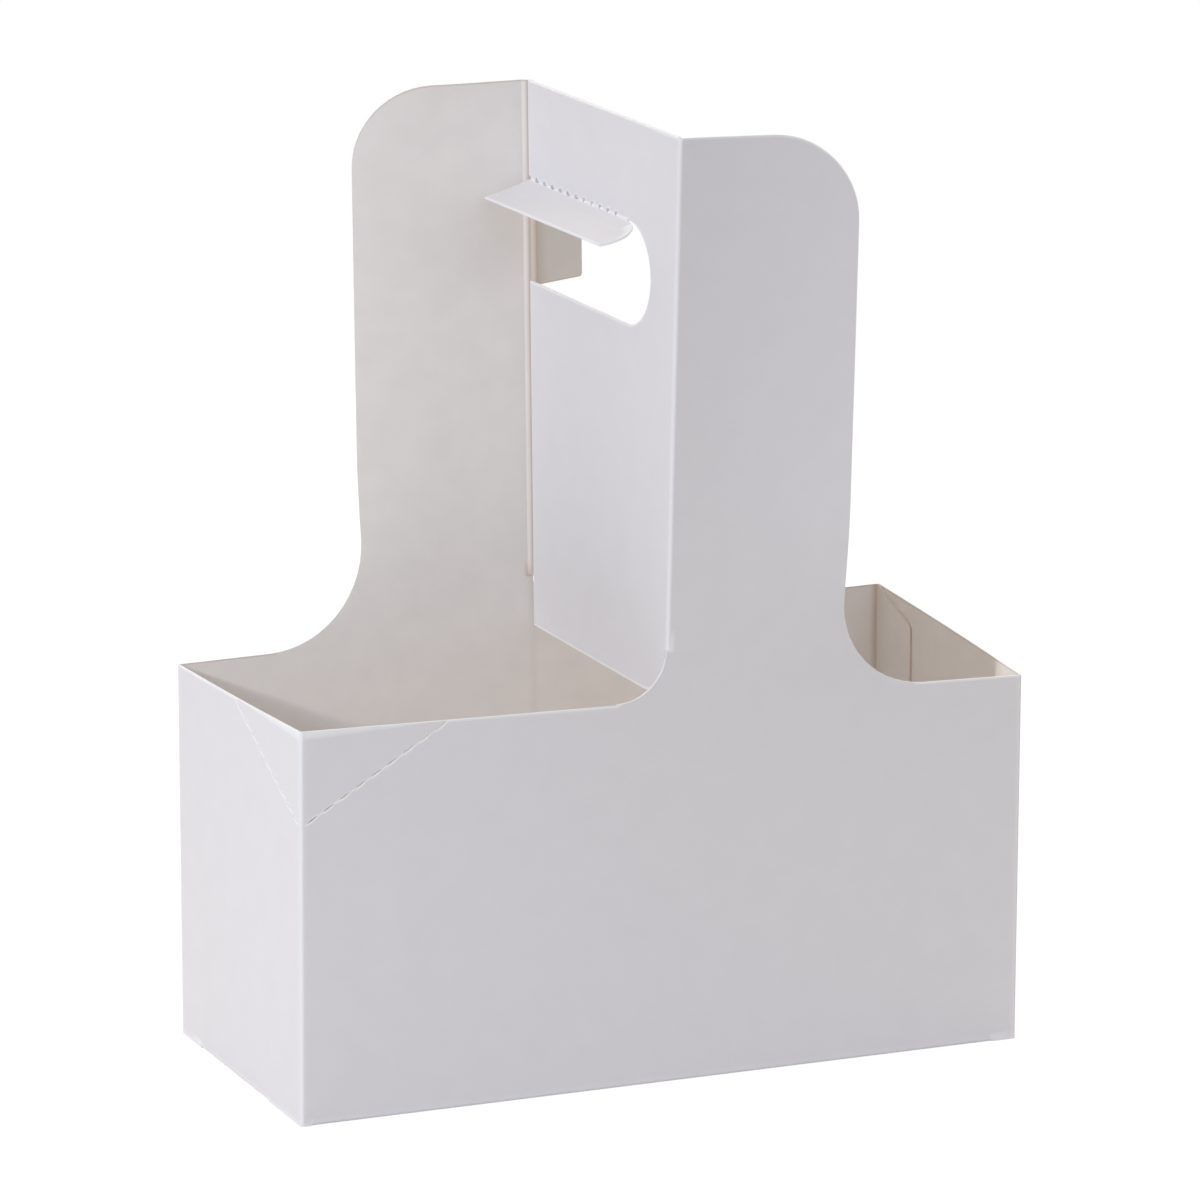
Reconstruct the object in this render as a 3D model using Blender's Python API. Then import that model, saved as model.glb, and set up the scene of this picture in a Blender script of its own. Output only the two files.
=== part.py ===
"""A two-cup takeaway carrier folded from one sheet of white paperboard, with a Z-shaped handle.

Metres, +Z up. X runs along the carrier, from its left end to its right end, and Y runs from the
front wall to the back wall. The origin is at the middle of the base.
"""

import math

import bmesh
import bpy
from mathutils import Matrix, Vector

# Board
board = 0.0005
gap = 0.0003
fold_radius = 0.9 * board
board_white = (0.86, 0.85, 0.86)
board_roughness = 0.62

# Box
box_length = 0.200
box_depth = 0.090
wall_height = 0.101

# Handle: an upright on each long wall, and the web of two glued layers that joins them
handle_top = 0.247
upright_width = 0.0485
top_radius = 0.024
front_fillet = 0.024
back_fillet = 0.028
crease_fillet = 0.0133
front_layer_short = 0.0017
rear_layer_short = 0.0015

# Hand hole through the web
hole_floor = 0.194
hole_height = 0.027
hole_to_front = 0.0147

# Grip flap, cut from the hole in the web's front layer and folded out over the hand
grip_angle = math.radians(67)

# Side tab, cut from the hole in the web's rear layer and folded back at the back crease
tab_length = 0.021
tab_angle = math.radians(110)
tab_strip = 0.0015
tab_corner = 0.001

# Perforated corner at the front left
corner_run_front = 0.040
corner_run_end = 0.046
corner_drop = 0.0245

# Glue flap of the back wall, stuck inside the right end
glue_width = 0.022
glue_taper = 0.0055
glue_lift = 0.002

# Bottom: two long flaps whose tongues lie over each other, and a small flap on each end
long_side_clear = 0.003
long_mitre_clear = 0.006
long_notch_width = 0.003
long_notch_depth = 0.015
tongue_reach = 0.012
tongue_taper = 0.005
rise_start = 0.002
rise_length = 0.012
tongue_rise_length = 0.0115
end_flap_depth = 0.022
end_flap_clear = 0.002
end_flap_shoulder = 0.009
end_flap_stop = 0.015
end_flap_slack = 0.0015

# Worked out from the sizes above
layer = board + gap
mitre_gap = gap / math.sqrt(2)
tab_overhang = tab_length * math.sin(tab_angle - math.pi / 2) - layer - tab_strip
left_x = -box_length / 2
right_x = box_length / 2
front_y = -(box_depth + max(tab_overhang, 0)) / 2
back_y = front_y + box_depth
web_x = -board - gap / 2
web_rear_x = web_x + board + layer
web_low = wall_height + crease_fillet + gap
back_crease_x = web_x + board
glue_face_x = right_x - layer
tab_hinge_y = back_y - layer - tab_strip
hole_radius = hole_height / 2
hole_top = hole_floor + hole_height
hole_middle = hole_floor + hole_radius
hole_centre_y = front_y + hole_to_front + hole_radius
web_front_end = back_y - board - front_layer_short

arc_steps = 10
fold_steps = 3


def clear_scene():
    for thing in list(bpy.data.objects):
        bpy.data.objects.remove(thing, do_unlink=True)


def arc(centre_u, centre_v, radius, start, end, steps=arc_steps):
    """Points on a circle, from one angle to another in degrees."""
    found = []
    for step in range(steps + 1):
        angle = math.radians(start + (end - start) * step / steps)
        found.append((centre_u + radius * math.cos(angle), centre_v + radius * math.sin(angle)))
    return found


def fold_inset(depth):
    """How far a rounded fold edge stands back at a depth below the outer face."""
    short = max(fold_radius - depth, 0)
    return fold_radius - math.sqrt(fold_radius**2 - short**2)


def fold_depths():
    """Depths from the outer face to the inner one, close together round the folded edges."""
    found = []
    for step in range(fold_steps + 1):
        angle = math.pi / 2 * (1 - step / fold_steps)
        found.append(fold_radius * (1 - math.sin(angle)))
    return found + [board]


def paperboard(name):
    material = bpy.data.materials.new(name)
    material.use_nodes = True
    shader = material.node_tree.nodes["Principled BSDF"]
    shader.inputs["Base Color"].default_value = (*board_white, 1)
    shader.inputs["Roughness"].default_value = board_roughness
    shader.inputs["Metallic"].default_value = 0
    material.diffuse_color = (*board_white, 1)
    return material


def joint(name, place, carrier=None, turn=None):
    """An empty on a fold's axis, turned to where what hangs on it rests."""
    empty = bpy.data.objects.new(name, None)
    empty.empty_display_size = 0.01
    bpy.context.scene.collection.objects.link(empty)
    wanted = Matrix.Translation(Vector(place)) @ (turn or Matrix.Identity(4))
    if carrier:
        empty.parent = carrier
        wanted = carrier.matrix_world.inverted() @ wanted
    empty.matrix_basis = wanted
    bpy.context.view_layer.update()
    return empty


def link_piece(name, work, carrier):
    """Makes an object of a mesh drawn in place on the flat board, hung on its fold's empty."""
    bmesh.ops.recalc_face_normals(work, faces=work.faces)
    bmesh.ops.translate(work, vec=-carrier.matrix_world.translation, verts=work.verts)
    mesh = bpy.data.meshes.new(name)
    work.to_mesh(mesh)
    work.free()
    mesh.materials.append(paperboard(name))
    piece = bpy.data.objects.new(name, mesh)
    bpy.context.scene.collection.objects.link(piece)
    piece.parent = carrier
    return piece


def panel(name, outline, place, carrier, depths=(0, board)):
    """A flat panel, lofted from its outer face to its inner face through one outline per depth."""
    work = bmesh.new()
    rings = []
    for depth in depths:
        rings.append([work.verts.new(place(u, v, depth)) for u, v in outline(depth)])
    for outer, inner in zip(rings, rings[1:]):
        for i in range(len(outer)):
            j = (i + 1) % len(outer)
            work.faces.new((outer[i], outer[j], inner[j], inner[i]))
    work.faces.new(rings[0])
    work.faces.new(rings[-1])
    return link_piece(name, work, carrier)


def cut(piece, name, outline, place):
    """Cuts a hole with the given outline through a panel."""
    work = bmesh.new()
    ends = []
    for depth in (-board, 2 * board):
        ends.append([work.verts.new(place(u, v, depth)) for u, v in outline])
    for i in range(len(outline)):
        j = (i + 1) % len(outline)
        work.faces.new((ends[0][i], ends[0][j], ends[1][j], ends[1][i]))
    work.faces.new(ends[0])
    work.faces.new(ends[1])
    cutter = link_piece(name, work, piece.parent)
    cutter.hide_render = True
    cutter.display_type = "WIRE"
    hole = piece.modifiers.new(name, "BOOLEAN")
    hole.operation = "DIFFERENCE"
    hole.solver = "EXACT"
    hole.object = cutter


def on_front(x, z, depth):
    return (x, front_y + depth, z)


def on_back(x, z, depth):
    return (x, back_y - depth, z)


def on_left(y, z, depth):
    return (left_x + depth, y, z)


def on_right(y, z, depth):
    return (right_x - depth, y, z)


def on_glue_face(y, z, depth):
    return (glue_face_x - depth, y, z)


def on_web_front(y, z, depth):
    return (web_x + depth, y, z)


def on_web_rear(y, z, depth):
    return (web_rear_x - depth, y, z)


def corner_line(run, along, lift=0):
    """Height of the perforated line at a distance along a wall from the front left corner."""
    return wall_height - corner_drop + lift + corner_drop * along / run


def corner_lift(run):
    """How much higher the corner's own edge runs than the wall's, for the gap between them."""
    return gap * math.hypot(1, corner_drop / run)


def front_wall_outline(depth):
    left = left_x + mitre_gap + depth
    right = right_x - fold_inset(depth)
    bottom = fold_inset(depth)
    crease = web_x + mitre_gap + depth
    upright_right = web_x + upright_width
    crease_foot = wall_height + crease_fillet
    points = [(left, bottom), (right, bottom), (right, wall_height)]
    points += arc(
        upright_right + front_fillet, wall_height + front_fillet, front_fillet, 270, 180
    )
    points += arc(upright_right - top_radius, handle_top - top_radius, top_radius, 0, 90)
    points += [(crease, handle_top), (crease, crease_foot)]
    points += arc(web_x - crease_fillet, crease_foot, crease_fillet, 0, -90)
    points += [
        (left_x + corner_run_front, wall_height),
        (left, corner_line(corner_run_front, left - left_x)),
    ]
    return points


def back_wall_outline(depth):
    left = left_x + fold_inset(depth)
    right = glue_face_x - fold_inset(depth)
    bottom = fold_inset(depth)
    upright_left = back_crease_x - upright_width
    points = [(left, bottom), (right, bottom), (right, wall_height)]
    points += arc(
        back_crease_x + crease_fillet, wall_height + crease_fillet, crease_fillet, 270, 180
    )
    points += [(back_crease_x, handle_top)]
    points += arc(upright_left + top_radius, handle_top - top_radius, top_radius, 90, 180)
    points += arc(upright_left - back_fillet, wall_height + back_fillet, back_fillet, 0, -90)
    return points + [(left, wall_height)]


def left_end_outline(depth):
    front = front_y + mitre_gap + depth
    back = back_y - layer
    bottom = fold_inset(depth)
    return [
        (front, bottom),
        (back, bottom),
        (back, wall_height),
        (front_y + corner_run_end, wall_height),
        (front, corner_line(corner_run_end, front - front_y)),
    ]


def right_end_outline(depth):
    bottom = fold_inset(depth)
    front = front_y + layer
    return [(front, bottom), (back_y, bottom), (back_y, wall_height), (front, wall_height)]


def corner_front_outline(depth):
    left = left_x + mitre_gap + depth
    lift = corner_lift(corner_run_front)
    far = left_x + corner_run_front * (1 - lift / corner_drop)
    low = corner_line(corner_run_front, left - left_x, lift)
    return [(left, low), (far, wall_height), (left, wall_height)]


def corner_end_outline(depth):
    front = front_y + mitre_gap + depth
    lift = corner_lift(corner_run_end)
    far = front_y + corner_run_end * (1 - lift / corner_drop)
    low = corner_line(corner_run_end, front - front_y, lift)
    return [(front, low), (far, wall_height), (front, wall_height)]


def glue_flap_outline(depth):
    fold = back_y - layer
    edge = back_y - glue_width
    return [
        (edge, glue_lift + glue_taper),
        (fold, glue_lift),
        (fold, wall_height),
        (edge, wall_height - glue_taper),
    ]


def web_front_outline(depth):
    crease = front_y + mitre_gap + depth
    foot = wall_height + gap
    points = [(crease, web_low)]
    points += arc(front_y + layer + crease_fillet, web_low, crease_fillet, 180, 270)
    points += [(web_front_end, foot), (web_front_end, handle_top), (crease, handle_top)]
    return points


def web_rear_outline(depth):
    front = front_y + board + rear_layer_short
    back = back_y - layer
    points = [(front, wall_height + gap)]
    points += arc(back - crease_fillet, web_low, crease_fillet, 270, 360)
    return points + [(back, handle_top), (front, handle_top)]


def hand_hole(back_end):
    """A hole with a round front end, open or straight at its back end."""
    points = arc(hole_centre_y, hole_middle, hole_radius, 90, 270, 2 * arc_steps)
    return points + [(back_end, hole_floor), (back_end, hole_top)]


def grip_flap_outline(depth):
    points = arc(hole_centre_y, hole_middle, hole_radius - gap, 90, 180)
    return points + [(web_front_end, hole_middle), (web_front_end, hole_top - gap)]


def side_tab_outline(depth):
    hinge = tab_hinge_y - gap
    free = tab_hinge_y - tab_length
    low = hole_floor + gap
    high = hole_top - gap
    points = arc(free + tab_corner, high - tab_corner, tab_corner, 90, 180, fold_steps)
    points += arc(free + tab_corner, low + tab_corner, tab_corner, 180, 270, fold_steps)
    return points + [(hinge, low), (hinge, high)]


def flap(name, points, faces, place, carrier):
    """A bottom flap: faces over points given as (along, out, lift), thickened upwards."""
    work = bmesh.new()
    low = [work.verts.new(place(along, out, lift)) for along, out, lift in points]
    for face in faces:
        work.faces.new([low[i] for i in face])
    grown = bmesh.ops.extrude_face_region(work, geom=list(work.faces))
    top = [item for item in grown["geom"] if isinstance(item, bmesh.types.BMVert)]
    bmesh.ops.translate(work, vec=(0, 0, board), verts=top)
    return link_piece(name, work, carrier)


def long_flap(name, place, carrier):
    """Rises off the end flaps, and its half next to the closing corner ends in a tongue."""
    near = layer
    rise_end = rise_start + rise_length
    notch_floor = box_depth / 2 - long_notch_depth
    tongue_up = notch_floor + tongue_rise_length
    middle = box_depth / 2 - gap / 2
    tip = box_depth / 2 + tongue_reach
    side = long_side_clear
    notch_a = (box_length - long_notch_width) / 2
    notch_b = (box_length + long_notch_width) / 2

    def mitre(out):
        return box_length - out - long_mitre_clear

    points = [
        (side, near, 0),
        (mitre(near), near, 0),
        (side, rise_start, 0),
        (mitre(rise_start), rise_start, 0),
        (side, rise_end, layer),
        (mitre(rise_end), rise_end, layer),
        (side, notch_floor, layer),
        (notch_a, notch_floor, layer),
        (notch_b, notch_floor, layer),
        (mitre(notch_floor), notch_floor, layer),
        (side, middle, layer),
        (notch_a, middle, layer),
        (notch_b, tongue_up, 2 * layer),
        (mitre(tongue_up), tongue_up, 2 * layer),
        (notch_b + tongue_taper, tip, 2 * layer),
        (mitre(tip) - tongue_taper, tip, 2 * layer),
    ]
    faces = [
        (0, 1, 3, 2),
        (2, 3, 5, 4),
        (4, 5, 9, 8, 7, 6),
        (6, 7, 11, 10),
        (8, 9, 13, 12),
        (12, 13, 15, 14),
    ]
    return flap(name, points, faces, place, carrier)


def end_flap(name, place, carrier):
    """Stays clear of the long flap that closes over it at the corner where the box folds shut."""
    start = glue_width + end_flap_clear
    stop = box_depth - end_flap_stop
    top = box_depth - 2 * (end_flap_depth + end_flap_slack)
    points = [
        (start, layer, 0),
        (start + end_flap_shoulder, end_flap_depth, 0),
        (top, end_flap_depth, 0),
        (stop, layer, 0),
    ]
    return flap(name, points, [(0, 1, 2, 3)], place, carrier)


def from_front(along, out, lift):
    return (left_x + along, front_y + out, lift)


def from_back(along, out, lift):
    return (right_x - along, back_y - out, lift)


def from_left(along, out, lift):
    return (left_x + out, front_y + along, lift)


def from_right(along, out, lift):
    return (right_x - out, back_y - along, lift)


clear_scene()

# Folds that let the empty carrier lie flat. All four upright folds keep one link length.
root = joint("carrier_front", (0, 0, 0))
left_fold = joint("left_end_fold", (left_x, front_y, 0), root)
back_fold = joint("back_wall_fold", (left_x + board, back_y - board, 0), left_fold)
right_fold = joint("right_end_fold", (right_x - board, front_y + board, 0), root)
web_fold = joint("web_fold", (web_x, front_y, 0), root)
grip_turn = Matrix.Rotation(grip_angle, 4, "Y")
grip_fold = joint("grip_flap_fold", (web_x, hole_centre_y, hole_top), web_fold, grip_turn)
tab_turn = Matrix.Rotation(tab_angle, 4, "Z")
tab_fold = joint("side_tab_fold", (web_rear_x, tab_hinge_y, hole_middle), web_fold, tab_turn)
front_flap_fold = joint("front_flap_fold", (0, front_y + board, board), root)
back_flap_fold = joint("back_flap_fold", (0, back_y - board, board), back_fold)
left_flap_fold = joint("left_flap_fold", (left_x + board, 0, board), left_fold)
right_flap_fold = joint("right_flap_fold", (right_x - board, 0, board), right_fold)

# Walls
panel("front_wall", front_wall_outline, on_front, root, fold_depths())
panel("back_wall", back_wall_outline, on_back, back_fold, fold_depths())
panel("left_end", left_end_outline, on_left, left_fold, fold_depths())
panel("right_end", right_end_outline, on_right, right_fold, fold_depths())
panel("glue_flap", glue_flap_outline, on_glue_face, right_fold)
panel("corner_tab_front", corner_front_outline, on_front, root)
panel("corner_tab_end", corner_end_outline, on_left, left_fold)

# Handle web
web_front = panel("web_front_layer", web_front_outline, on_web_front, web_fold)
cut(web_front, "hand_hole_front", hand_hole(back_y), on_web_front)
web_rear = panel("web_rear_layer", web_rear_outline, on_web_rear, web_fold)
cut(web_rear, "hand_hole_rear", hand_hole(tab_hinge_y), on_web_rear)
panel("grip_flap", grip_flap_outline, on_web_front, grip_fold)
panel("side_tab", side_tab_outline, on_web_rear, tab_fold)

# Bottom
long_flap("bottom_flap_front", from_front, front_flap_fold)
long_flap("bottom_flap_back", from_back, back_flap_fold)
end_flap("bottom_flap_left", from_left, left_flap_fold)
end_flap("bottom_flap_right", from_right, right_flap_fold)
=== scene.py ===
import math

import bmesh
import bpy
import numpy as np
from mathutils import Matrix, Vector


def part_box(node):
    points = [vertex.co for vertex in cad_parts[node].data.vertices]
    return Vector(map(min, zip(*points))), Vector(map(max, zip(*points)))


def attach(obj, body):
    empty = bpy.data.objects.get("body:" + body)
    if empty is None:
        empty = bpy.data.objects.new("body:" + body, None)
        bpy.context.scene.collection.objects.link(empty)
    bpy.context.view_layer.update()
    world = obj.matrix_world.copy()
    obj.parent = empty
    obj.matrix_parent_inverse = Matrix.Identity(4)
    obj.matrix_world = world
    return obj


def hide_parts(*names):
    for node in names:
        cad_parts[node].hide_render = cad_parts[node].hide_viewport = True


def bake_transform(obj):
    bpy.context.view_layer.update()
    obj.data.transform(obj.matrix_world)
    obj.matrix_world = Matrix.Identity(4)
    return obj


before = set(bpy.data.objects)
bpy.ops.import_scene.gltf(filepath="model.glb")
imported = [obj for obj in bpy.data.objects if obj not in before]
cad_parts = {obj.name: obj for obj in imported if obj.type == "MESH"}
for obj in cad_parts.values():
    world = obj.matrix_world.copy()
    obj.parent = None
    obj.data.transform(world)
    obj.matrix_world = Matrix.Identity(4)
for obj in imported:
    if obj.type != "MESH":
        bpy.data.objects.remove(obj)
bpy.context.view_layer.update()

mm = 0.001

# Metres. The board's sizes, and the lines that its panels share.
board = {
    "thick": 0.5 * mm,
    "layer": 0.8 * mm,         # from one sheet's face to the next one's
    "pressed": 0.53 * mm,      # the same where the glue flap is pressed on the right end
    "glued": 0.64 * mm,        # thickness of each of the web's two layers, which touch
    "openFold": 1.0 * mm,      # outer radius of a fold that opens when the carrier is flattened
    "closedFold": 0.6 * mm,    # and of one that closes
    "doubleFold": 0.7 * mm,    # and of the two creases side by side at the back of the web
    "baseFold": 0.9 * mm,
    "scored": 0.9 * mm,        # half the width of the tint along a crease, which on the inner faces is painted shade
    "cutBand": 0.7 * mm,       # width of the band along a cut edge: a painted highlight on the outer face, painted shade on the inner ones
    "rounding": 0.12 * mm,     # rounding of a die-cut edge
    "step": 7 * mm,            # spacing of the grids
    "belt": 5 * mm,            # and of the rows where the handle leaves the walls
    "fineStep": 4 * mm,        # and of the small flaps
    "besideFold": 1.2 * mm,    # from a fold to the column next to it
    "apart": 0.2 * mm,         # columns this close to a corner are left out
    "foot": 0.04 * mm,         # height of the walls' lower edge over the floor
    "merge": 4e-6,             # points closer than this are one
    "seamReach": 8e-6,         # an edge this close to a seam is not a cut one
}
box = {
    "left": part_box("left_end")[0].x,
    "right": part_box("right_end")[1].x,
    "front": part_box("front_wall")[0].y,
    "back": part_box("back_wall")[1].y,
    "rim": 101 * mm,
}
handle = {
    "top": 247 * mm,
    "webLeft": -0.65 * mm,     # left face of the front layer
    "webRight": 0.65 * mm,     # right face of the rear layer
    "webCorner": 114.6 * mm,   # height at which the web leaves the uprights
    "width": 48.5 * mm,
    "backWidth": 47.2 * mm,
    "frontRadius": 22.8 * mm,  # rounding of the front upright's top corner
    "backRadius": 20.8 * mm,   # and of the back one's
    "frontFillet": 24 * mm,
    "backFillet": 27.5 * mm,
    "creaseFillet": 13.3 * mm,
    "backCrease": -0.15 * mm,
    "doubleLeft": 2.1 * mm,    # from the web's back corner to the crease on the back wall
    "doubleFront": 1.45 * mm,  # and to the crease on the web's rear layer
    "seamShare": 0.57,         # where on the strip the back wall ends and the web begins
    "stripShade": (0.1 * mm, 41.5 * mm, 0.75 * mm),    # x, y and half width of the painted shade line on it, in the gap behind the front layer's edge
    "stripMark": 1.0,          # added to the strip's travel, to tell its columns from the wall's
    "frontShort": 1.7 * mm,    # from the front layer's end to the back wall
    "rearShort": 1.5 * mm,     # and from the rear one's to the front wall
}
hole = {
    "floor": 194 * mm,
    "top": 221 * mm,
    "centreY": box["front"] + 28.2 * mm,
    "radius": 13.5 * mm,
    "gap": 0.3 * mm,           # between the flap or the tab and the hole's edge
}
leftX, rightX, frontY, backY, rim = (box[key] for key in ("left", "right", "front", "back", "rim"))
openFold, closedFold, baseFold = board["openFold"], board["closedFold"], board["baseFold"]
cutBand, besideFold, webCorner = board["cutBand"], board["besideFold"], handle["webCorner"]
holeMiddle = hole["floor"] + hole["radius"]
tiny = 1e-9

# The carrier's stance after use: rims that run a little high and low, a handle that turns, slack
# walls
stance = {
    "rimSkew": 0.47,           # rise in metres for each square metre of x times y
    "handleFront": 3.7 * mm,   # how far the top of the front crease leans to the right
    "handleBack": -1.5 * mm,   # and the top of the back crease
    "footFront": -0.7 * mm,    # the same for the foot of the front wall
    "curlFront": 4.0 * mm,     # how far the front upright's free edge curls forwards
    "curlBack": 4.6 * mm,      # and the back one's backwards
    "curlStart": 0.35,         # share of the handle's height over which the curl sets in
    "wallBow": 0.5 * mm,
    "bowLine": 0.35,           # share of the depth at which the bow changes sides
    "bowPeak": 0.62,           # part of a half wave between the foot and the rim
    "endBow": 0.5 * mm,
    "topFront": -0.8 * mm,     # how much higher the front of the handle's top stands
    "topBack": 0.2 * mm,       # and the back of it
    "topFree": 0.5 * mm,       # and the back upright's free corner
    "cornerIn": 1.5 * mm,      # how far the back right corner is pushed in
    "cornerFoot": 0.3,         # share of that at its foot
    "liftBackLeft": 1.0 * mm,
    "liftFrontRight": -0.7 * mm,
}


def joined(*parts):
    return np.unique(np.concatenate(parts))


def upTo(columns, stop):
    return columns[columns <= stop + tiny]


def since(columns, start):
    return columns[columns >= start - tiny]


def spread(start, end, step=board["step"], nearStart=0.0, nearEnd=0.0):
    # evenly spaced values, and one more close to an end that is a cut edge or a fold
    count = max(2, int(round(abs(end - start) / step)) + 1)
    values = np.linspace(start, end, count)
    extra = [start + math.copysign(nearStart, end - start)] if nearStart else []
    extra += [end - math.copysign(nearEnd, end - start)] if nearEnd else []
    return joined(values, extra)


def aroundArc(centre, radius, start, end, steps=14):
    # columns across an arc, even by angle: centre + radius times the cosine
    return np.sort(centre + radius * np.cos(np.radians(np.linspace(start, end, steps + 1))))


def circleHeight(columns, centre, radius):
    # half the height of a circle at each column: root of radius squared less distance squared
    return np.sqrt(np.clip(radius**2 - (columns - centre) ** 2, 0, None))


def between(columns, low, high, levels):
    # a grid of columns that run from a low curve to a high one, its rows spaced as the levels are
    share = (levels - levels[0]) / (levels[-1] - levels[0])
    low = np.zeros(len(columns)) + low
    high = np.zeros(len(columns)) + high
    up = low[:, None] + (high - low)[:, None] * share
    return np.repeat(columns[:, None], len(levels), axis=1), up


def foldPath(travel, corner, back, ahead, radius):
    # in plan: straight in along one panel, round an arc that touches both, straight out along
    # the next. Travel 0 is where the arc starts; back and ahead point away from the corner.
    corner, back, ahead = (np.asarray(item, float) for item in (corner, back, ahead))
    bend = math.pi - math.acos(float(back @ ahead))
    side = (ahead + back * math.cos(bend)) / math.sin(bend)
    angle = np.clip(travel / radius, 0, bend)[..., None]
    past = np.clip(travel - radius * bend, 0, None)[..., None]
    before = np.clip(travel, None, 0)[..., None]
    start = corner + back * radius * math.tan(bend / 2)
    arc = side * radius * (1 - np.cos(angle)) - back * radius * np.sin(angle)
    return start + arc + ahead * past - back * before


def lifted(plan, up):
    return np.concatenate([plan, up[..., None]], -1)


def standing(*fold):
    # an upright panel: round its fold in plan, and straight up
    return lambda along, up: lifted(foldPath(along, *fold), up)


def quarter(radius):
    return radius * math.pi / 2


def foldColumns(radius):
    return np.linspace(0, quarter(radius), 11)


def scoredUp(x, y):
    # an upright crease, as two axes with their values and the half width of its mark
    return 0, x, 1, y, board["scored"]


def scoredFoot(axis, value):
    return axis, value, 2, 0, board["scored"]


def doubleCrease():
    # the slanting strip between the two creases at the web's back: corners, bends and lengths
    across, ahead, radius = handle["doubleLeft"], handle["doubleFront"], board["doubleFold"]
    slant = math.atan2(ahead, across)
    first, second = radius * slant, radius * (math.pi / 2 - slant)
    cutA, cutB = (radius * math.tan(bend / 2) for bend in (slant, math.pi / 2 - slant))
    straight = math.hypot(across, ahead) - cutA - cutB
    seam = handle["seamShare"] * straight
    cornerX = handle["webRight"] - across
    return {
        "left": (cornerX, backY), "right": (handle["webRight"], backY - ahead),
        "way": (math.cos(slant), -math.sin(slant)),
        "startX": cornerX - cutA, "endY": backY - ahead - cutB,
        "first": first, "straight": straight, "travel": first + straight + second,
        "seamTravel": first + seam, "seamX": cornerX + (cutA + seam) * math.cos(slant),
    }


strip = doubleCrease()
# the strip's painted shade line, carried as a crease mark
shadeX, shadeY, shadeWidth = handle["stripShade"]
stripShade = (0, shadeX, 1, shadeY, shadeWidth)


def doublePath(travel):
    # two arcs joined by the strip: the first is measured from its start, the second from its own
    way, radius = strip["way"], board["doubleFold"]
    before = foldPath(travel, strip["left"], (-1, 0), way, radius)
    after = foldPath(travel - strip["first"] - strip["straight"], strip["right"],
                     (-way[0], -way[1]), (0, -1), radius)
    return np.where((travel < strip["first"] + strip["straight"] / 2)[..., None], before, after)


def settle(points):
    # the rims rise by x times y, the handle shears across between its creases, the walls bow
    x, y, z = points.T
    deep = (y - frontY) / (backY - frontY)
    within = np.clip(deep, 0, 1)
    low = np.clip(z / rim, 0, 1)
    up = np.clip((z - rim) / (handle["top"] - rim), 0, None)
    toRight, toLeft = np.clip(x / rightX, 0, 1), np.clip(x / leftX, 0, 1)
    belly = np.sin(np.pi * low * stance["bowPeak"])
    moved = points.copy()

    moved[:, 0] += up * (stance["handleFront"] * (1 - deep) + stance["handleBack"] * deep)
    moved[:, 0] += (1 - low) * stance["footFront"] * (1 - deep)
    ends = np.sign(x) * (np.abs(x) / rightX) ** 3
    moved[:, 0] += stance["endBow"] * ends * np.sin(np.pi * within) * belly

    rise = np.clip(up / stance["curlStart"], 0, 1)
    reach = np.abs(x) / handle["width"]
    curl = np.where(x > 0, -stance["curlFront"] * reach**2, stance["curlBack"] * reach**3)
    moved[:, 1] += curl * rise**2 * (3 - 2 * rise)
    halves = np.sin(2 * np.pi * np.clip((x - leftX) / (rightX - leftX), 0, 1))
    moved[:, 1] += stance["wallBow"] * halves * belly * (deep - stance["bowLine"])
    pushed = stance["cornerFoot"] + (1 - stance["cornerFoot"]) * low
    moved[:, 1] -= stance["cornerIn"] * toRight**3 * within**2 * pushed * (z < rim + mm)

    moved[:, 2] += stance["rimSkew"] * x * (y - (frontY + backY) / 2) * low
    moved[:, 2] += low * stance["liftBackLeft"] * toLeft * within
    moved[:, 2] += low * stance["liftFrontRight"] * toRight * (1 - within)
    moved[:, 2] += up * (stance["topFront"] * (1 - within) + stance["topBack"] * within)
    moved[:, 2] += up * stance["topFree"] * within * np.clip(-x / handle["width"], 0, 1)
    return moved


def meshValues(items, key, kind=int, width=1):
    values = np.empty(len(items) * width, kind)
    items.foreach_get(key, values)
    return values.reshape(-1, width) if width > 1 else values


def linked(name, data):
    item = bpy.data.objects.new(name, data)
    bpy.context.scene.collection.objects.link(item)
    return item


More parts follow.
